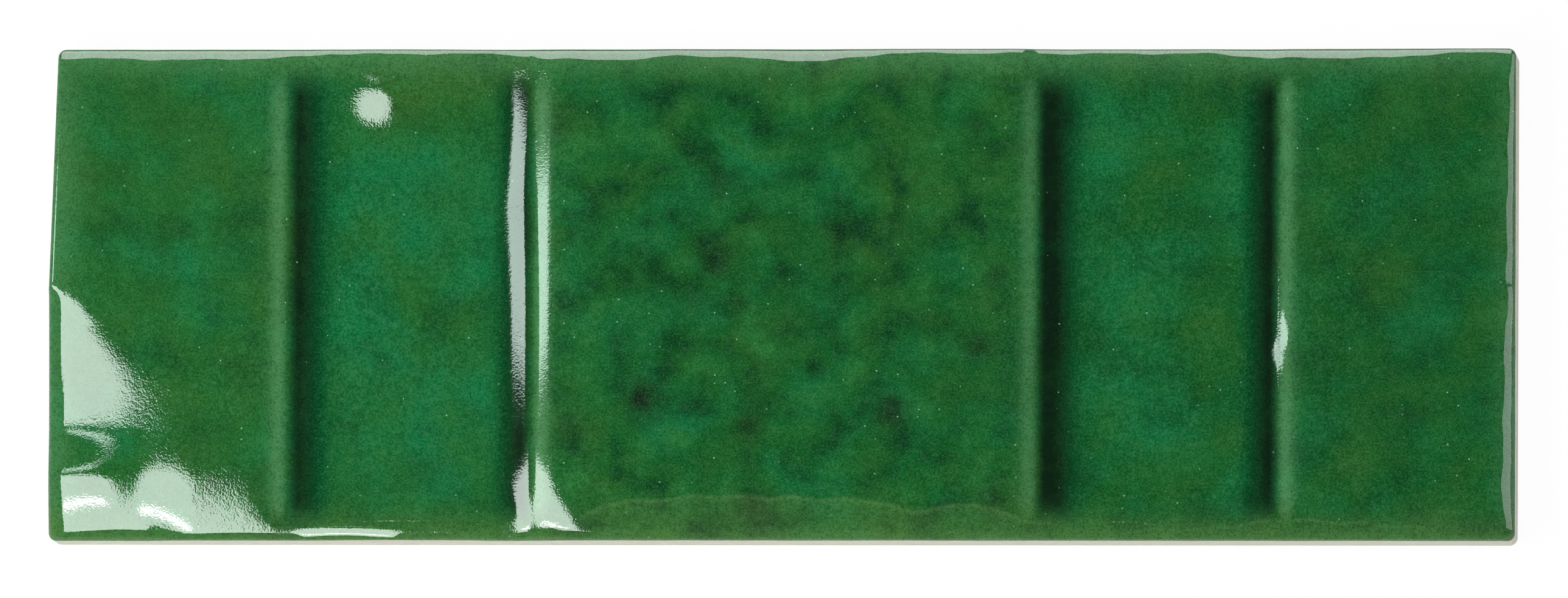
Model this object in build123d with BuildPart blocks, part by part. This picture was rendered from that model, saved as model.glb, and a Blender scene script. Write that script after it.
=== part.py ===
"""Glazed decorative wall tile: one fired slab with two sunken panels pressed into its face.

The tile lies face up. X runs along its length, Y across its width and Z through its thickness,
and the origin is the middle of the flat back. All sizes are in millimetres.
"""

import os

from build123d import *

# Overall slab
tile_length = 150.0
tile_width = 50.3
tile_thickness = 8.5

# Outline: the upper part of the left edge leans inwards, as on a hand-trimmed tile
left_lean = 0.85
left_lean_height = 25.4
plan_corner_radius = 0.8

# Rounded edge that the glaze runs over, and the small bevel round the back
face_edge_radius = 1.2
back_bevel = 0.4

# The two sunken panels, alike and one each side of the middle
panel_width = 27.6
panel_gap = 49.0
panel_rim = 1.75
panel_depth = 1.05
panel_side_run = 2.65
panel_end_run = 3.6
mouth_corner_radius = 2.6
floor_corner_radius = 1.6
panel_foot_radius = 4.0
panel_lip_radius = 2.0

# Places worked out from the sizes above
face_height = tile_thickness
floor_height = face_height - panel_depth
panel_length = tile_width - 2 * panel_rim
panel_centres = [side * (panel_gap + panel_width) / 2 for side in (-1, 1)]


def outline_points():
    """Corners of the slab seen from above, counter-clockwise from the lower left."""
    left = -tile_length / 2
    right = tile_length / 2
    lower = -tile_width / 2
    upper = tile_width / 2
    return [
        (left, lower),
        (right, lower),
        (right, upper),
        (left + left_lean, upper),
        (left, upper - left_lean_height),
    ]


def edges_at(part, height):
    """Edges that lie wholly at one height."""
    return part.edges().filter_by_position(Axis.Z, height, height)


with BuildPart() as tile:
    # Slab, with its plan corners rounded off
    with BuildSketch() as slab_outline:
        with BuildLine():
            Polyline(*outline_points(), close=True)
        make_face()
        slab_corners = slab_outline.vertices().group_by(Axis.Y)
        fillet(slab_corners[0] + slab_corners[-1], radius=plan_corner_radius)
    extrude(amount=tile_thickness)
    back_edges = edges_at(tile, 0)
    chamfer(back_edges, length=back_bevel)
    face_edges = edges_at(tile, face_height)
    fillet(face_edges, radius=face_edge_radius)

    # Sunken panels, whose walls slope all round from the mouth down to the floor
    for centre in panel_centres:
        with BuildSketch(Plane.XY.offset(face_height)) as panel_mouth:
            with Locations((centre, 0)):
                RectangleRounded(panel_width, panel_length, mouth_corner_radius)
        with BuildSketch(Plane.XY.offset(floor_height)) as panel_floor:
            with Locations((centre, 0)):
                RectangleRounded(
                    panel_width - 2 * panel_side_run,
                    panel_length - 2 * panel_end_run,
                    floor_corner_radius,
                )
        loft(mode=Mode.SUBTRACT)

    # Glaze softens the foot and the lip of each panel's walls
    foot_edges = edges_at(tile, floor_height)
    fillet(foot_edges, radius=panel_foot_radius)
    face = tile.faces().sort_by(Axis.Z)[-1]
    lip_edges = [edge for mouth in face.inner_wires() for edge in mouth.edges()]
    fillet(lip_edges, radius=panel_lip_radius)

tile.part.label = "tile"

os.makedirs("parts", exist_ok=True)
export_step(tile.part, "parts/tile.step")
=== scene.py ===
"""Glazed wall tile, lying face up on a pale floor and seen from above.

The tile's face is one height field: rolled edges, two sunken panels with soft walls, and the slow
swells of a hand-pressed slab under a thick glaze. Lengths of the tile are in millimetres until the
mesh is made. X runs along the tile, Y across it, and the origin is the middle of the flat back.
"""

import math
from collections import namedtuple

import bpy
import numpy as np
from mathutils import Matrix, Vector


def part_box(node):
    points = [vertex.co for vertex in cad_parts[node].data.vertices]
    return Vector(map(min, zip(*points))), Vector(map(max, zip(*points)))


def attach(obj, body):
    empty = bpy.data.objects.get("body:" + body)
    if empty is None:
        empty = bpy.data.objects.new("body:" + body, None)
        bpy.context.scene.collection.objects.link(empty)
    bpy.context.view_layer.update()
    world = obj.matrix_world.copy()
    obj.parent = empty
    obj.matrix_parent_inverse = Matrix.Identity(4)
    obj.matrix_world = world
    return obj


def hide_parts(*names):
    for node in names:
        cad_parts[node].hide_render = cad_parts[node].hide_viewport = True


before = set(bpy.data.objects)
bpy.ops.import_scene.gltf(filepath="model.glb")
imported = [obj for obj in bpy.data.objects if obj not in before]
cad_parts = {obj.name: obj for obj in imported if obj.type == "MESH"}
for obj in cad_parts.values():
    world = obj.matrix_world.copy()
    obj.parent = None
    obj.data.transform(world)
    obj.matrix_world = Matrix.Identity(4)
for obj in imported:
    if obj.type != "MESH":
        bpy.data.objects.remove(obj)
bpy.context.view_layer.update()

MM = 0.001
_, tile_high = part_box("tile")

# Overall size, from the frame
HALF_LENGTH = tile_high.x / MM
HALF_WIDTH = tile_high.y / MM
FACE_HEIGHT = tile_high.z / MM

# The land lies a little lower, so that its swells stay under the overall height
LAND_SINK = 0.11
LAND_HEIGHT = FACE_HEIGHT - LAND_SINK

# Outline
LEFT_LEAN = 0.85
LEFT_LEAN_HEIGHT = 25.4
CORNER_RADIUS = 0.7
RIM_INSET = 0.12
BACK_BEVEL = 0.4

# Photo frame, for the camera and for places taken from the photograph
PHOTO_WIDTH = 2576
PHOTO_PX_PER_MM = 16.05
PHOTO_TILE_CENTRE = (1283, 484)


def px(u, v):
    """Place on the tile, in mm, of a pixel of the photograph."""
    return (u - PHOTO_TILE_CENTRE[0]) / PHOTO_PX_PER_MM, (PHOTO_TILE_CENTRE[1] - v) / PHOTO_PX_PER_MM


# Sunken panels: their depth, the middles of their four walls, and where their lower walls start
PANEL_DEPTH = 1.08
PANEL_WALLS = (-51.3, -25.15, 25.4, 51.2)
LOWER_WALL = 1.8


# Shape tools


def ease(t):
    """0 below 0, 1 above 1 and smooth between."""
    t = np.clip(t, 0, 1)
    return t * t * (3 - 2 * t)


def waves(s, parts):
    """Sum of (height, wavelength, phase) waves along s."""
    return sum(a * np.sin(2 * math.pi * s / length + phase) for a, length, phase in parts)


def mound(X, Y, centre, radii, height):
    """Soft round hill, or a dent where the height is negative."""
    return height * np.exp(-(((X - centre[0]) / radii[0]) ** 2) - ((Y - centre[1]) / radii[1]) ** 2)


def faded(d, amount, reach):
    """An amount that fades away over a reach in mm, to both sides of d = 0."""
    return amount * np.exp(-((d / reach) ** 2))


def roll(d, width, slope):
    """Drop of an edge that rolls over: its slope grows to the given one at the edge."""
    t = np.clip(1 - d / width, 0, None)
    return slope * width / 2 * t * t


def meniscus(d, foot, lip):
    """0 outside a panel and 1 inside, d mm in from the middle of the wall, which settles slowly both ways."""
    share = lip / (lip + foot)
    outside = share * np.exp(np.minimum(d, 0) / lip)
    inside = 1 - (1 - share) * np.exp(-np.maximum(d, 0) / foot)
    return np.where(d < 0, outside, inside)


def left_edge(Y):
    """X of the left edge, whose upper part leans inwards."""
    lean_start = HALF_WIDTH - LEFT_LEAN_HEIGHT
    return -HALF_LENGTH + LEFT_LEAN * np.clip((Y - lean_start) / LEFT_LEAN_HEIGHT, 0, 1)


# Face of the tile


def edge_distances(X, Y):
    """Distances in from the left, right, lower and upper edges."""
    return X - left_edge(Y), HALF_LENGTH - X, Y + HALF_WIDTH, HALF_WIDTH - Y


# Widths of the rolled edges: (place along the edge, width)
UPPER_ROLL = [
    (-75.0, 1.3), (-60.0, 1.6), (-51.0, 1.3), (-46.0, 0.7), (-28.0, 0.7), (-24.0, 1.5), (-14.0, 1.6),
    (-11.0, 0.9), (4.0, 1.9), (11.0, 0.7), (44.0, 0.7), (50.0, 1.4), (62.0, 1.4), (68.0, 0.7), (75.0, 0.7),
]
RIGHT_ROLL = [
    (-25.0, 1.4), (-20.0, 2.2), (-3.0, 1.7), (0.2, 1.0), (1.5, 1.6), (12.0, 1.4), (22.0, 1.0), (25.0, 0.5),
]

# Slopes of the rolled edges at the rim
UPPER_SLOPE = 0.95
LOWER_SLOPE = 0.8
RIGHT_SLOPE = 1.1
LEFT_SLOPE = 0.8


def edge_drop(X, Y):
    """How far the rolled edges fall below the face."""
    left, right, lower, upper = edge_distances(X, Y)
    upper_width = np.interp(X, *zip(*UPPER_ROLL)) + waves(X, [(0.10, 9.3, 1.0), (0.05, 4.1, 0.3)])
    sharper = 0.62 * ease((X + 50.0) / 1.5) * ease((-38.0 - X) / 1.5)
    lower_width = 1 + waves(X, [(0.15, 23, 1.4), (0.1, 11, 2.0)]) - sharper
    right_width = np.interp(Y, *zip(*RIGHT_ROLL)) + waves(Y, [(0.14, 7.0, 0.4), (0.06, 3.1, 2.0)])
    left_width = 0.4 + 1.25 * ease(0.6 - Y)
    return (
        roll(upper, upper_width, UPPER_SLOPE)
        + roll(lower, lower_width, LOWER_SLOPE)
        + roll(right, right_width, RIGHT_SLOPE)
        + roll(left, left_width, LEFT_SLOPE)
    )


def left_land(X):
    """1 on the left land, running out slowly across the first panel."""
    return ease((-38.0 - X) / 12.0)


# Worn lower left corner: slope of the face inwards from the edge, where the wear starts, how far down it
# takes to spread inwards, and where the face starts to recover below
CORNER_SLOPE = 0.16
CORNER_TOP = 1.2
CORNER_SPREAD = 13.0
CORNER_RECOVERY = -13.3

# Sags along the lower edge: (depth, reach inwards)
LAND_SAG = (1.60, 5.4)
RIDGE_SAG = (0.85, 2.5)
PLAIN_SAG = (0.5, 2.2)

# Ridge at the right of the first panel
RIDGE = -24.6


def sag(lower, depth, reach):
    """Drop that fades inwards from the lower edge."""
    return depth * np.exp(-lower / reach)


def corner_drop(X, Y):
    """The face sags towards its lower left corner and along the lower edge, most on the left land."""
    left, _, lower, _ = edge_distances(X, Y)
    spread = ease(-Y / CORNER_SPREAD)
    reach = 1.6 + 3.8 * spread
    start = 1.90 - 0.35 * spread
    worn = ease((CORNER_TOP - Y) / 4.8) * (1 - 0.75 * ease((CORNER_RECOVERY - Y) / 6.0))
    beyond = reach * np.exp(-np.maximum(left - start, 0) / reach)
    before = 0.22 * np.tanh(np.maximum(start - left, 0) / 0.22)
    side = CORNER_SLOPE * worn * (beyond + before)
    on_land = left_land(X)
    thinner = 1 - 0.30 * ease((X + 66.0) / 6.0)
    at_ridge = faded(X - RIDGE, 1.0, np.where(X > RIDGE, 2.4, 3.0))
    land = on_land * thinner * sag(lower, *LAND_SAG)
    ridge = at_ridge * sag(lower, *RIDGE_SAG)
    elsewhere = (1 - on_land) * (1 - at_ridge) * sag(lower, *PLAIN_SAG)
    return side + land + ridge + elsewhere


def panel_drop(X, Y):
    """Depth of the two sunken panels, which run out shallowly at their upper ends."""
    _, _, lower, upper = edge_distances(X, Y)
    open_corner = ease((X + 33.0) / 4.0) * ease(-X)
    closed_end = meniscus(lower - LOWER_WALL, 2.0, 0.5)
    lower_end = (1 - open_corner) * closed_end + open_corner * (1 - faded(lower, 0.3, 3.0))
    slack = ease((-29.0 - X) / 7.0) * faded(upper, 0.52, 8.0)
    upper_rise = 0.26 * (1 - ease((upper - 1.0) / 15.0)) + slack
    left_1, right_1, left_2, right_2 = PANEL_WALLS

    # The first panel's right wall bends left towards its upper end
    bend = 0.05 + 0.3 * ease((Y + 4.0) / 20.0)
    first = meniscus(X - left_1, 1.9, 0.8) * meniscus(right_1 - bend - X, 2.3, 1.42)

    # The second panel's right wall is steepest a little below the middle
    wide = 1 + (0.45 + 0.30 * ease(Y / 8.0)) * (1 - faded(Y + 5.0, 1.0, 2.6))
    second = meniscus(X - left_2, 1.9, 0.9) * meniscus(right_2 - X, 2.2 * wide, 1.75 * wide)

    across = first + second
    return PANEL_DEPTH * lower_end * across * (1 - upper_rise * across)


# Low hills that the glaze hasn't levelled: (centre, radii, height)
SWELLS = [
    (px(170, 800), (3.1, 3.3), 0.13),
    (px(645, 148), (3.1, 3.1), 0.31),
]


def face_height(X, Y):
    """Height of the glazed face above the back."""
    h = -edge_drop(X, Y) - corner_drop(X, Y) - panel_drop(X, Y)
    for centre, radii, height in SWELLS:
        h = h + mound(X, Y, centre, radii, height)
    return LAND_HEIGHT + h


# How thick and how rich the glaze lies, from 0 to 1


# Glaze along the four walls: place of the ridge, 1 or -1 towards the panel, paleness of the ridge, darkness
# of the pool, mm in from the ridge where the pool has half set in and half ended, and how strong and how
# wide the rich green beyond it is
Wall = namedtuple("Wall", "ridge side paleness darkness settled ended richness spread")
WALLS = [
    Wall(-51.40, 1, 0.54, 0.92, 1.25, 3.7, 1.00, 2.0),
    Wall(-24.45, -1, 0.66, 0.95, 1.35, 3.6, 0.85, 1.2),
    Wall(25.40, 1, 0.42, 1.00, 0.95, 4.1, 0.70, 2.0),
    Wall(51.65, -1, 0.58, 1.00, 1.05, 3.3, 0.95, 1.3),
]

# Places where a pool spreads: (centre, radii in mm, darkness)
POOL_PATCHES = [
    (px(1738, 190), (2.2, 3.6), 0.90),
    (px(1735, 770), (2.4, 3.2), 0.75),
    (px(2068, 820), (1.8, 2.2), 0.70),
    (px(492, 480), (1.3, 3.0), 0.85),
]


def along_panels(X, Y):
    """1 where the panels run at full depth, fading at their ends."""
    _, _, lower, upper = edge_distances(X, Y)
    return ease((upper - 0.8) / 4.4) * ease((lower - 0.8) / 3.4)


# Wavy line along the lower edge below which the glaze has thinned
GLAZE_EDGE = [
    px(0, 905), px(860, 905), px(960, 852), px(1000, 828), px(1167, 815), px(1433, 823), px(1500, 842),
    px(1600, 827), px(1683, 853), px(1800, 875), px(2000, 867), px(2100, 853), px(2233, 858),
    px(2333, 867), px(2433, 883), px(2490, 884),
]


def below_glaze_edge(X, Y):
    """Distance in mm below the wavy line."""
    return np.interp(X, *zip(*GLAZE_EDGE)) + waves(X, [(0.12, 5.3, 0.0)]) - Y


def thin_glaze(X, Y):
    """Where the glaze has run off the ridges, the rolled edges and below the wavy line."""
    thin = np.zeros_like(X)
    for wall in WALLS:
        d = (X - wall.ridge) * wall.side
        inner = np.exp(-np.abs(d / 0.72) ** 2.6)
        outer = faded(d, 0.85, 0.88) + 0.15 * np.exp(-np.abs(d) / 1.6)
        thin = np.maximum(thin, wall.paleness * np.where(d > 0, inner, outer) * along_panels(X, Y))
    left, right, lower, upper = edge_distances(X, Y)
    thin = np.maximum(thin, faded(left, 0.38, 2.4) + faded(left, 0.25, 0.4))
    thin = np.maximum(thin, faded(right, 0.26, 1.9))
    thin = np.maximum(thin, faded(lower, 0.22, 2.4) + faded(lower, 0.2, 0.6))
    below = below_glaze_edge(X, Y)
    thin = np.maximum(thin, 0.14 * ease(below / 0.5 + 0.5) + faded(below, 0.20, 0.2))
    return np.maximum(thin, faded(upper, 0.48, 2.4))


def pooled_glaze(X, Y):
    """Where thick glaze lies nearly black at the foot of the panel walls."""
    pool = np.zeros_like(X)
    for wall in WALLS:
        d = (X - wall.ridge) * wall.side
        shape = ease((d - wall.settled) / 1.6 + 0.5) * (1 - ease((d - wall.ended) / 3.4 + 0.5))
        pool = np.maximum(pool, wall.darkness * shape)
    return np.maximum(pool * along_panels(X, Y), patches(X, Y, POOL_PATCHES))


def rich_glaze(X, Y):
    """The saturated green beside each pool."""
    rich = np.zeros_like(X)
    for wall in WALLS:
        d = (X - wall.ridge) * wall.side - wall.ended
        rich = np.maximum(rich, faded(d, wall.richness, np.where(d < 0, 0.9, wall.spread)))
    return rich * along_panels(X, Y)


def lower_edge(X, Y):
    """1 along the lower edge, where the thin glaze is yellower."""
    _, _, lower, _ = edge_distances(X, Y)
    return np.maximum(1 - ease((lower - 1.0) / 4.0), ease(below_glaze_edge(X, Y) / 1.5 + 1.0))


def panel_floor(X, Y):
    """1 on the floors of the panels, where the glaze is a little bluer."""
    first = ease((X + 50.0) / 3.0) * ease((-26.0 - X) / 3.0)
    second = ease((X - 26.5) / 3.0) * ease((50.5 - X) / 3.0)
    return (first + second) * along_panels(X, Y)


def warm_side(X, Y):
    """1 at the left end, where the glaze is a little thinner and warmer, and 0 from the middle on."""
    return ease((-10.0 - X) / 34.0)


def middle_field(X, Y):
    """1 on the land between the panels, where the glaze is cloudiest."""
    return ease((X + 24.5) / 3.0) * ease((24.5 - X) / 3.0)


# Dark spots of iron in the glaze: (centre, radius in mm, strength)
DARK_SPOTS = [
    (px(913, 207), 1.6, 0.46),
    (px(1181, 300), 1.6, 0.52),
    (px(977, 342), 1.5, 0.34),
    (px(1060, 420), 1.6, 0.29),
    (px(1174, 426), 2.0, 0.46),
    (px(1382, 384), 1.5, 0.46),
    (px(925, 493), 1.5, 0.46),
    (px(1142, 495), 1.4, 0.34),
    (px(1217, 495), 1.4, 0.34),
    (px(1637, 455), 1.4, 0.52),
    (px(1537, 533), 1.6, 0.34),
    (px(1605, 570), 1.6, 0.63),
    (px(1060, 656), 1.8, 1.00),
    (px(1467, 675), 1.6, 0.86),
    (px(1233, 702), 1.5, 0.52),
    (px(941, 699), 1.6, 0.46),
    (px(1239, 831), 1.8, 0.63),
    (px(1634, 821), 1.6, 0.63),
    (px(1599, 204), 1.4, 0.40),
]


# Bluer patches: (centre, radii in mm, strength)
TEAL_PATCHES = [
    (px(605, 309), (5.5, 5.5), 0.55),
    (px(545, 420), (2.5, 9.0), 0.35),
    (px(830, 670), (3.5, 5.0), 0.55),
    (px(700, 560), (8.0, 8.0), 0.25),
    (px(590, 500), (10.0, 24.0), 0.30),
    (px(700, 500), (11.0, 26.0), 0.25),
    (px(1803, 258), (3.5, 5.0), 0.50),
    (px(2022, 350), (3.0, 5.5), 0.50),
    (px(1850, 560), (6.0, 8.0), 0.25),
    (px(1120, 420), (6.0, 7.0), 0.20),
]


# Yellower, thinner patches: (centre, radii in mm, strength)
OLIVE_PATCHES = [
    (px(720, 130), (9.0, 5.0), 0.85),
    (px(1300, 110), (22.0, 2.5), 0.40),
    (px(1400, 875), (70.0, 2.2), 0.45),
    (px(380, 620), (6.0, 9.0), 0.20),
    (px(1000, 780), (9.0, 3.0), 0.25),
    (px(1550, 330), (7.0, 8.0), 0.20),
    (px(1900, 810), (8.0, 3.0), 0.25),
]


# Darker parts of the field: (centre, radii in mm, strength)
DEEP_PATCHES = [
    (px(2280, 520), (13.0, 24.0), 0.40),
    (px(1300, 480), (22.0, 24.0), 0.25),
    (px(1740, 190), (2.6, 3.0), 0.60),
    (px(410, 400), (4.0, 14.0), 0.20),
]


def patches(X, Y, listed):
    """The strongest of the listed patches at each place."""
    total = np.zeros_like(X)
    for centre, radii, strength in listed:
        total = np.maximum(total, mound(X, Y, centre, radii, strength))
    return total


def dark_spots(X, Y):
    """Strength of the dark spots at each place."""
    return patches(X, Y, [(centre, (radius, radius), strength) for centre, radius, strength in DARK_SPOTS])


# Mesh of the tile


def grid_lines(stops):
    """Grid lines through (place, pitch) stops, each span cut evenly at about its pitch."""
    lines = []
    for (start, pitch), (end, _) in zip(stops, stops[1:]):
        count = max(1, round((end - start) / pitch))
        lines.extend(start + (end - start) * k / count for k in range(count))
    lines.append(stops[-1][0])
    return np.array(lines)


def face_grid():
    """X and Y of the face's vertices: fine at the edges and walls and coarser between."""
    end = HALF_LENGTH - RIM_INSET
    side = HALF_WIDTH - RIM_INSET
    columns = grid_lines([
        (-end, 0.13), (-72.4, 0.36), (-53.6, 0.2), (-46.0, 0.48), (-30.5, 0.2), (-22.0, 0.55),
        (23.0, 0.2), (30.0, 0.5), (46.0, 0.2), (53.4, 0.55), (72.6, 0.13), (end, 0.13),
    ])
    rows = grid_lines([
        (-side, 0.13), (-20.0, 0.3), (-16.0, 0.47), (17.0, 0.34), (22.4, 0.13), (side, 0.13),
    ])
    U, V = np.meshgrid(columns, rows)
    U, V = round_corners(U, V, end, side)
    left = left_edge(V) + RIM_INSET
    X = end - (end - U) * (end - left) / (2 * end)
    return X, V


def round_corners(U, V, end, side):
    """Pulls the grid's square corners in onto a small arc."""
    a = np.abs(U) - (end - CORNER_RADIUS)
    b = np.abs(V) - (side - CORNER_RADIUS)
    inside = (a > 0) & (b > 0)
    longest = np.maximum(a, b)
    scale = np.where(inside, longest / np.maximum(np.hypot(a, b), 1e-9), 1)
    U = np.where(inside, np.sign(U) * (end - CORNER_RADIUS + a * scale), U)
    V = np.where(inside, np.sign(V) * (side - CORNER_RADIUS + b * scale), V)
    return U, V


def rim_indices(rows, columns):
    """Indices of the face grid's outer vertices, counter-clockwise seen from above."""
    lower = [k for k in range(columns - 1)]
    right = [k * columns + columns - 1 for k in range(rows - 1)]
    upper = [(rows - 1) * columns + k for k in range(columns - 1, 0, -1)]
    left = [k * columns for k in range(rows - 1, 0, -1)]
    return np.array(lower + right + upper + left)


def outward(X, Y):
    """Unit directions out of the closed rim through X, Y."""
    dx = np.roll(X, -1) - np.roll(X, 1)
    dy = np.roll(Y, -1) - np.roll(Y, 1)
    length = np.hypot(dx, dy)
    return dy / length, -dx / length


# Heights of the rings down the side, as shares of it from the face edge to the back
SIDE_SHARES = (0.02, 0.045, 0.075, 0.11, 0.16, 0.24, 0.36, 0.52, 0.68, 0.84, 1.0)


def side_rings(X, Y, Z):
    """Rings of the tile's side, from just below the rim to the back: (x, y, z, mm below the rim)."""
    nx, ny = outward(X, Y)
    rings = []
    steps = 4
    start = math.radians(45)
    radius = RIM_INSET / (1 - math.sin(start))
    for k in range(1, steps + 1):
        angle = start + (math.pi / 2 - start) * k / steps
        out = radius * (math.sin(angle) - math.sin(start))
        down = radius * (math.cos(start) - math.cos(angle))
        rings.append((X + nx * out, Y + ny * out, Z - down, down + 0.02 * k))
    full_x, full_y, top, _ = rings[-1]
    along = np.cumsum(np.hypot(np.diff(X, append=X[0]), np.diff(Y, append=Y[0])))
    for share in SIDE_SHARES:
        z = top - (top - BACK_BEVEL) * share
        dip = 0.05 + waves(along, [(0.03, 17, 1.0), (0.02, 7.3, 2.0)])
        dip = dip + waves(along + 9 * share, [(0.015, 3.1, 0.0)])
        dip = np.clip(dip, 0, None) * math.sin(math.pi * min(share * 1.15, 1.0)) ** 0.5
        rings.append((full_x - nx * dip, full_y - ny * dip, z, top - z + down))
    low_x, low_y = full_x - nx * BACK_BEVEL, full_y - ny * BACK_BEVEL
    rings.append((low_x, low_y, np.zeros_like(Z), top + down))
    return rings


def tile_surface():
    """Vertices of the whole closed tile, how far each lies below the rim, and the faces."""
    X, Y = face_grid()
    Z = face_height(X, Y)
    grid = np.arange(X.size).reshape(X.shape)
    corners = [grid[:-1, :-1], grid[:-1, 1:], grid[1:, 1:], grid[1:, :-1]]
    faces = np.stack(corners, -1).reshape(-1, 4).tolist()
    rim = rim_indices(*X.shape)
    flat_x, flat_y, flat_z = X.ravel(), Y.ravel(), Z.ravel()
    points = [np.stack([flat_x, flat_y, flat_z], -1)]
    below = [np.zeros(flat_x.size)]
    previous = rim
    next_index = flat_x.size
    for ring_x, ring_y, ring_z, ring_below in side_rings(flat_x[rim], flat_y[rim], flat_z[rim]):
        points.append(np.stack([ring_x, ring_y, ring_z], -1))
        below.append(np.broadcast_to(ring_below, ring_x.shape))
        ring = np.arange(next_index, next_index + rim.size)
        next_index += rim.size
        quads = np.stack([previous, ring, np.roll(ring, -1), np.roll(previous, -1)], -1)
        faces.extend(quads.tolist())
        previous = ring
    faces.append(previous[::-1].tolist())
    return np.concatenate(points), np.concatenate(below), faces


def glaze_attributes(x, y):
    """What the material needs to know of the glaze at each vertex, by name."""
    return {
        "thin": thin_glaze(x, y),
        "pool": pooled_glaze(x, y),
        "rich": rich_glaze(x, y),
        "floor": panel_floor(x, y),
        "cloud": middle_field(x, y),
        "spot": dark_spots(x, y),
        "deep": patches(x, y, DEEP_PATCHES),
        "lower_edge": lower_edge(x, y),
        "warm": warm_side(x, y),
        "hue": patches(x, y, TEAL_PATCHES) - patches(x, y, OLIVE_PATCHES),
    }


def build_tile():
    """The tile as one object, with smooth sides and a flat back."""
    points, below, faces = tile_surface()
    mesh = bpy.data.meshes.new("glazed_tile")
    mesh.from_pydata((points * MM).tolist(), [], faces)
    mesh.shade_smooth()
    add_attribute(mesh, "below_rim", below)
    for name, values in glaze_attributes(points[:, 0], points[:, 1]).items():
        add_attribute(mesh, name, values)
    mark_sharp_back(mesh)
    tile = bpy.data.objects.new("glazed_tile", mesh)
    bpy.context.scene.collection.objects.link(tile)
    return tile


def add_attribute(mesh, name, values):
    """A number for each vertex, which the material reads by name."""
    layer = mesh.attributes.new(name, "FLOAT", "POINT")
    layer.data.foreach_set("value", np.ascontiguousarray(values, dtype=np.float32))


def mark_sharp_back(mesh):
    """Keeps the flat back flat: its outline is a sharp edge."""
    back = mesh.polygons[len(mesh.polygons) - 1]
    back.use_smooth = False
    ring = set(back.vertices)
    for edge in mesh.edges:
        if edge.vertices[0] in ring and edge.vertices[1] in ring:
            edge.use_edge_sharp = True


# Material tools


def srgb(r, g, b):
    """Linear colour of an 8-bit sRGB one."""
    def linear(c):
        c /= 255
        return c / 12.92 if c <= 0.04045 else ((c + 0.055) / 1.055) ** 2.4
    return (linear(r), linear(g), linear(b), 1)


class Nodes:
    """Short ways to add and link shader nodes."""

    def __init__(self, material):
        material.use_nodes = True
        self.tree = material.node_tree
        self.tree.nodes.clear()

    def add(self, kind, inputs=None, **settings):
        node = self.tree.nodes.new(kind)
        for name, value in settings.items():
            setattr(node, name, value)
        for name, value in (inputs or {}).items():
            self.put(node.inputs[name], value)
        return node

    def put(self, socket, value):
        if isinstance(value, bpy.types.NodeSocket):
            self.tree.links.new(value, socket)
        else:
            socket.default_value = value

    def attribute(self, name):
        return self.add("ShaderNodeAttribute", attribute_name=name).outputs["Fac"]

    def math(self, operation, *values, clamp=False):
        node = self.add("ShaderNodeMath", operation=operation, use_clamp=clamp)
        for socket, value in zip(node.inputs, values):
            self.put(socket, value)
        return node.outputs[0]

    def between(self, value, low, high, out_low=0.0, out_high=1.0, smooth=True):
        kind = "SMOOTHSTEP" if smooth else "LINEAR"
        node = self.add("ShaderNodeMapRange", interpolation_type=kind)
        for name, number in (("Value", value), ("From Min", low), ("From Max", high)):
            self.put(node.inputs[name], number)
        self.put(node.inputs["To Min"], out_low)
        self.put(node.inputs["To Max"], out_high)
        return node.outputs["Result"]

    def mix(self, share, first, second, blend="MIX"):
        node = self.add("ShaderNodeMix", data_type="RGBA", blend_type=blend)
        self.put(node.inputs["Factor"], share)
        self.put(node.inputs[6], first)
        self.put(node.inputs[7], second)
        return node.outputs[2]

    def noise(self, place, size_mm, detail=2.0, roughness=0.5, distortion=0.0):
        inputs = {
            "Vector": place,
            "Scale": 1 / (size_mm * MM),
            "Detail": detail,
            "Roughness": roughness,
            "Distortion": distortion,
        }
        return self.add("ShaderNodeTexNoise", inputs).outputs["Fac"]


# Glaze and body colours
GREEN = srgb(22, 93, 37)
GREEN_WARM = srgb(33, 99, 41)
GREEN_TEAL = srgb(20, 114, 64)
GREEN_LIGHT = srgb(42, 112, 52)
GREEN_OLIVE = srgb(50, 101, 38)
GREEN_DEEP = srgb(8, 62, 27)
GREEN_RICH = srgb(0, 82, 38)
POOL = srgb(11, 33, 18)
PALE = srgb(92, 150, 98)
PALE_OLIVE = srgb(108, 146, 84)
SPOT = srgb(20, 38, 20)
# Pale colour of the painted glints on the glaze
GLINT_SPECK = srgb(132, 172, 150)
BISQUE = srgb(236, 232, 220)
BISQUE_WARM = srgb(222, 214, 196)
GLAZE_LINE = srgb(150, 140, 112)


def field_colour(n, place, cloud):
    """Green of the open field: slow drifts from olive to teal, with clouds between."""
    drift = n.noise(place, 8.0, detail=2.5, roughness=0.55)
    hue = n.math("MULTIPLY_ADD", n.math("SUBTRACT", drift, 0.5), 2.5, n.attribute("hue"))
    hue = n.math("MULTIPLY_ADD", n.attribute("floor"), 0.15, hue)
    green = n.mix(n.attribute("warm"), GREEN, GREEN_WARM)
    colour = n.mix(n.between(hue, 0.0, 0.8, smooth=False), green, GREEN_TEAL)
    colour = n.mix(n.between(hue, 0.0, -0.8, smooth=False), colour, GREEN_OLIVE)
    contrast = n.math("MULTIPLY_ADD", n.attribute("cloud"), 0.50, 0.48)
    deep = n.math("MULTIPLY", n.between(cloud, 0.54, 0.24), contrast)
    deep = n.math("ADD", deep, n.math("MULTIPLY", n.attribute("deep"), 0.5), clamp=True)
    colour = n.mix(deep, colour, GREEN_DEEP)
    light = n.math("MULTIPLY", n.between(cloud, 0.50, 0.78), contrast)
    return n.mix(light, colour, GREEN_LIGHT)


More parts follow.
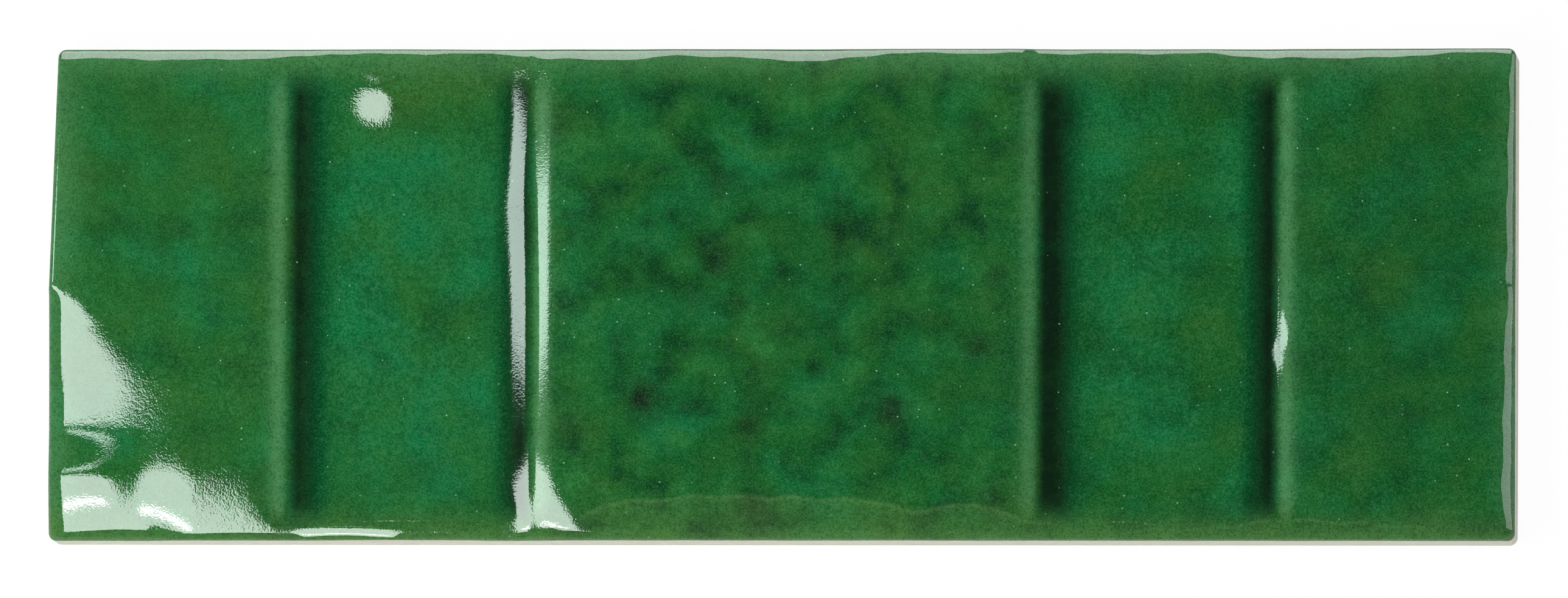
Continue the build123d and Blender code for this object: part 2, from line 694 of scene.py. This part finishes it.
def thickness_colour(n, place, cloud, colour):
    """Dark pools, rich green beside them, iron spots and pale arrises, all a little ragged."""
    ragged = n.math("SUBTRACT", n.noise(place, 1.3, detail=2.0), 0.5)
    slow = n.math("SUBTRACT", cloud, 0.5)
    wobble = n.math("MULTIPLY_ADD", slow, 0.5, n.math("MULTIPLY", ragged, 0.35))
    rich = n.math("MULTIPLY", n.attribute("rich"), n.math("ADD", wobble, 1.0))
    colour = n.mix(n.math("MINIMUM", rich, 1.0), colour, GREEN_RICH)
    pool = n.math("MULTIPLY", n.attribute("pool"), n.math("MULTIPLY_ADD", wobble, -0.6, 1.0))
    colour = n.mix(n.math("MINIMUM", pool, 1.0), colour, POOL)
    spot = n.math("MULTIPLY", n.attribute("spot"), n.math("MULTIPLY_ADD", ragged, 1.6, 1.0), clamp=True)
    colour = n.mix(spot, colour, SPOT)
    pale = n.mix(n.attribute("lower_edge"), PALE, PALE_OLIVE)
    thin = n.math("MULTIPLY", n.attribute("thin"), n.math("MULTIPLY_ADD", wobble, 0.7, 1.0), clamp=True)
    return n.mix(thin, colour, pale)


def grain_and_glint_colour(n, place, colour):
    """Fine mottling and grain all over, with painted glints: a pale bloom, a pale half of the grain and
    scattered pale specks, the first two weaker in the pools.
    """
    grain = n.noise(place, 0.2, detail=2.0, roughness=0.7)
    clear = n.math("MULTIPLY_ADD", n.attribute("pool"), -0.85, 1.0)
    mottle = n.noise(place, 0.75, detail=2.0, roughness=0.6)
    colour = n.mix(n.between(mottle, 0.52, 0.20, 0.0, 0.26, smooth=False), colour, POOL)
    # Painted glints: a pale bloom on the mottle and a pale half of the grain, in the glint colour
    glint_bloom = n.math("MULTIPLY", n.between(mottle, 0.50, 0.85, 0.0, 0.06, smooth=False), clear)
    colour = n.mix(glint_bloom, colour, GLINT_SPECK)
    pale = n.math("MULTIPLY", n.between(grain, 0.50, 0.85, 0.0, 0.17, smooth=False), clear)
    colour = n.mix(pale, colour, GLINT_SPECK)
    dark = n.between(grain, 0.50, 0.15, 0.0, 0.85, smooth=False)
    colour = n.mix(dark, colour, POOL)
    # Painted glints: scattered pale specks
    cells = n.add("ShaderNodeTexVoronoi", {"Vector": place, "Scale": 1 / (1.1 * MM), "Randomness": 1.0})
    luck = n.add("ShaderNodeSeparateColor", {"Color": cells.outputs["Color"]}).outputs["Red"]
    dot = n.between(cells.outputs["Distance"], 0.10, 0.05)
    glint_speck = n.math("MULTIPLY", dot, n.between(luck, 0.60, 0.98))
    return n.mix(glint_speck, colour, GLINT_SPECK)


def body_colour(n, place, below):
    """Bare cream body, with a dull line where the glaze ends."""
    body = n.mix(n.noise(place, 1.1, detail=4.0), BISQUE, BISQUE_WARM)
    line = n.between(below, 0.75, 0.40)
    return n.mix(n.math("MULTIPLY", line, 0.8), body, GLAZE_LINE)


def tile_material():
    """Green glaze on the face, running out below the rim onto the bare cream body."""
    material = bpy.data.materials.new("green_glaze")
    n = Nodes(material)
    place = n.add("ShaderNodeTexCoord").outputs["Object"]
    cloud = n.noise(place, 4.4, detail=3.0, roughness=0.5)
    colour = field_colour(n, place, cloud)
    colour = thickness_colour(n, place, cloud, colour)
    colour = grain_and_glint_colour(n, place, colour)

    ragged = n.noise(place, 2.4, detail=3.0)
    below = n.math("MULTIPLY_ADD", n.math("SUBTRACT", ragged, 0.5), 0.9, n.attribute("below_rim"))
    bare = n.between(below, 0.32, 0.46)
    colour = n.mix(bare, colour, body_colour(n, place, below))
    roughness = n.between(bare, 0.0, 1.0, 0.04, 0.85, smooth=False)

    # Orange peel of the glaze and grit of the body
    fine = n.noise(place, 0.20, detail=1.0)
    coarse = n.noise(place, 0.60, detail=1.0)
    wall = n.math("MAXIMUM", n.attribute("thin"), n.attribute("pool"))
    calm = n.between(wall, 0.1, 0.5, 1.0, 0.3)
    peel = n.math("MULTIPLY", n.math("MULTIPLY_ADD", coarse, 0.8, fine), calm)
    grit = n.noise(place, 0.3, detail=3.0)
    relief = n.mix(bare, n.math("MULTIPLY", peel, 0.050), n.math("MULTIPLY", grit, 0.5))
    bump = n.add("ShaderNodeBump", {"Strength": 1.0, "Distance": 0.1 * MM, "Height": relief})

    surface = n.add("ShaderNodeBsdfPrincipled", {
        "Base Color": colour,
        "Roughness": roughness,
        "IOR": 1.5,
        "Normal": bump.outputs[0],
    })
    n.add("ShaderNodeOutputMaterial", {"Surface": surface.outputs[0]})
    return material


# Floor, lights and camera

# How much of the floor is plain white, the rest taking the shadow, and its half size and drop in metres
FLOOR_GLOW = 0.96
FLOOR_HALF_SIZE = 4.0
FLOOR_DROP = 0.00005


def floor_material():
    """White to the eye, with a pale shadow kept in it."""
    material = bpy.data.materials.new("pale_floor")
    n = Nodes(material)
    matt = n.add("ShaderNodeBsdfDiffuse", {"Color": (0.92, 0.92, 0.92, 1)})
    white = n.add("ShaderNodeEmission", {"Color": (1, 1, 1, 1), "Strength": 1.0})
    path = n.add("ShaderNodeLightPath")
    seen = n.math("MAXIMUM", path.outputs["Is Camera Ray"], path.outputs["Is Glossy Ray"])
    seen = n.math("MAXIMUM", seen, path.outputs["Is Transmission Ray"])
    share = n.math("MULTIPLY", seen, FLOOR_GLOW)
    mixed = n.add("ShaderNodeMixShader", {0: share, 1: matt.outputs[0], 2: white.outputs[0]})
    n.add("ShaderNodeOutputMaterial", {"Surface": mixed.outputs[0]})
    return material


def make_floor():
    """Level floor under the tile."""
    corners = [(x * FLOOR_HALF_SIZE, y * FLOOR_HALF_SIZE, 0) for x, y in ((-1, -1), (1, -1), (1, 1), (-1, 1))]
    mesh = bpy.data.meshes.new("floor")
    mesh.from_pydata(corners, [], [(0, 1, 2, 3)])
    floor = bpy.data.objects.new("floor", mesh)
    floor.data.materials.append(floor_material())
    floor.location.z = -FLOOR_DROP
    bpy.context.scene.collection.objects.link(floor)


def soft_box(name, outline, radiance, height, tint=(1, 1, 1)):
    """Flat lit panel that looks down from that height in mm, with its outline in mm, clockwise from above."""
    mesh = bpy.data.meshes.new(name)
    mesh.from_pydata([(x * MM, y * MM, 0) for x, y in outline], [], [tuple(range(len(outline)))])
    material = bpy.data.materials.new(name)
    n = Nodes(material)
    glow = n.add("ShaderNodeEmission", {"Color": (*tint, 1), "Strength": radiance})
    n.add("ShaderNodeOutputMaterial", {"Surface": glow.outputs[0]})
    mesh.materials.append(material)
    panel = bpy.data.objects.new(name, mesh)
    panel.location.z = height * MM
    panel.visible_camera = False
    bpy.context.scene.collection.objects.link(panel)


def area_light(name, centre, half_size, radiance, in_gloss=True, in_matt=True):
    """Rectangular lamp at a place in mm that looks at the tile, level along its long side."""
    lamp = bpy.data.lights.new(name, "AREA")
    lamp.shape = "RECTANGLE"
    lamp.size = 2 * half_size[0] * MM
    lamp.size_y = 2 * half_size[1] * MM
    lamp.energy = radiance * math.pi * lamp.size * lamp.size_y
    light = bpy.data.objects.new(name, lamp)
    light.location = Vector(centre) * MM
    light.rotation_euler = Vector(centre).to_track_quat("Z", "Y").to_euler()
    light.visible_camera = False
    light.visible_glossy = in_gloss
    light.visible_diffuse = in_matt
    bpy.context.scene.collection.objects.link(light)


# Outlines of the two soft-boxes that the glaze mirrors, and of the bare tube inside the lower one
SOFT_BOX_HEIGHT = 488.5
UPPER_BOX = [(-270, 53), (-142, 53), (-158, 48), (-179, 31), (-270, 30)]
LOWER_BOX = [
    (-315, 12), (-170, -2), (-140, -25), (-113, -45), (-101, -85), (-92, -120), (-92, -330), (-189, -330),
    (-189, -215), (-315, -60),
]
TUBE = [(-211, -150), (-201, -128), (-126, -148), (-132, -170)]


# Radiance of the lamps, and tints of the soft-boxes
UPPER_LEVEL = 11.3
LOWER_LEVEL = 12.6
TUBE_LEVEL = 34.0
BACK_LEVEL = 7.0
RIGHT_LEVEL = 3.2
FILL_LEVEL = 1.95
UPPER_TINT = (0.89, 1.09, 1.01)
LOWER_TINT = (0.92, 1.03, 0.97)


def make_lights():
    """Soft-boxes at the lower left, reflectors behind and at the right, and fill that gloss doesn't show."""
    soft_box("upper_soft_box", UPPER_BOX, UPPER_LEVEL, SOFT_BOX_HEIGHT, tint=UPPER_TINT)
    soft_box("lower_soft_box", LOWER_BOX, LOWER_LEVEL, SOFT_BOX_HEIGHT, tint=LOWER_TINT)
    soft_box("tube", TUBE, TUBE_LEVEL, SOFT_BOX_HEIGHT - 1)
    area_light("back_reflector", (-45, 620, 330), (240, 320), BACK_LEVEL, in_matt=False)
    area_light("right_reflector", (620, 45, 290), (160, 190), RIGHT_LEVEL, in_matt=False)
    area_light("fill", (60, 60, 900), (450, 450), FILL_LEVEL, in_gloss=False)


HORIZON_LEVEL = 0.9
OVERHEAD_LEVEL = 0.015


def make_world():
    """Pale near the horizon and dark overhead, as in a studio."""
    world = bpy.data.worlds.new("studio")
    bpy.context.scene.world = world
    n = Nodes(world)
    place = n.add("ShaderNodeTexCoord").outputs["Generated"]
    height = n.add("ShaderNodeSeparateXYZ", {"Vector": place}).outputs["Z"]
    level = n.between(height, 0.02, 0.40, HORIZON_LEVEL, OVERHEAD_LEVEL)
    sky = n.add("ShaderNodeBackground", {"Color": (1, 1, 1, 1), "Strength": level})
    n.add("ShaderNodeOutputWorld", {"Surface": sky.outputs[0]})


# Camera: distance and target in mm, lean away from straight above, and scale of the face in the photograph
CAMERA_DISTANCE = 2500.0
CAMERA_LEAN = (0.0714, -0.0773)
CAMERA_TARGET = (0.41, -0.52)
CAMERA_PX_PER_MM = 16.110


def make_camera():
    """Long lens nearly straight above, a little to the right of the tile and below it."""
    target = Vector((*CAMERA_TARGET, FACE_HEIGHT)) * MM
    back = Vector((*CAMERA_LEAN, math.sqrt(1 - CAMERA_LEAN[0] ** 2 - CAMERA_LEAN[1] ** 2)))
    along = Vector((1, 0, 0))
    right = (along - back * along.dot(back)).normalized()
    up = back.cross(right)
    camera = bpy.data.objects.new("camera", bpy.data.cameras.new("camera"))
    turned = Matrix((right, up, back)).transposed().to_4x4()
    camera.matrix_world = Matrix.Translation(target + back * CAMERA_DISTANCE * MM) @ turned
    camera.data.lens = camera.data.sensor_width * CAMERA_PX_PER_MM * CAMERA_DISTANCE / PHOTO_WIDTH
    camera.data.clip_end = 20.0
    bpy.context.scene.collection.objects.link(camera)
    bpy.context.scene.camera = camera


make_camera()
tile = build_tile()
tile.data.materials.append(tile_material())
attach(tile, "root")
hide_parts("tile")
make_floor()
make_lights()
make_world()
bpy.context.scene.view_settings.view_transform = "Standard"
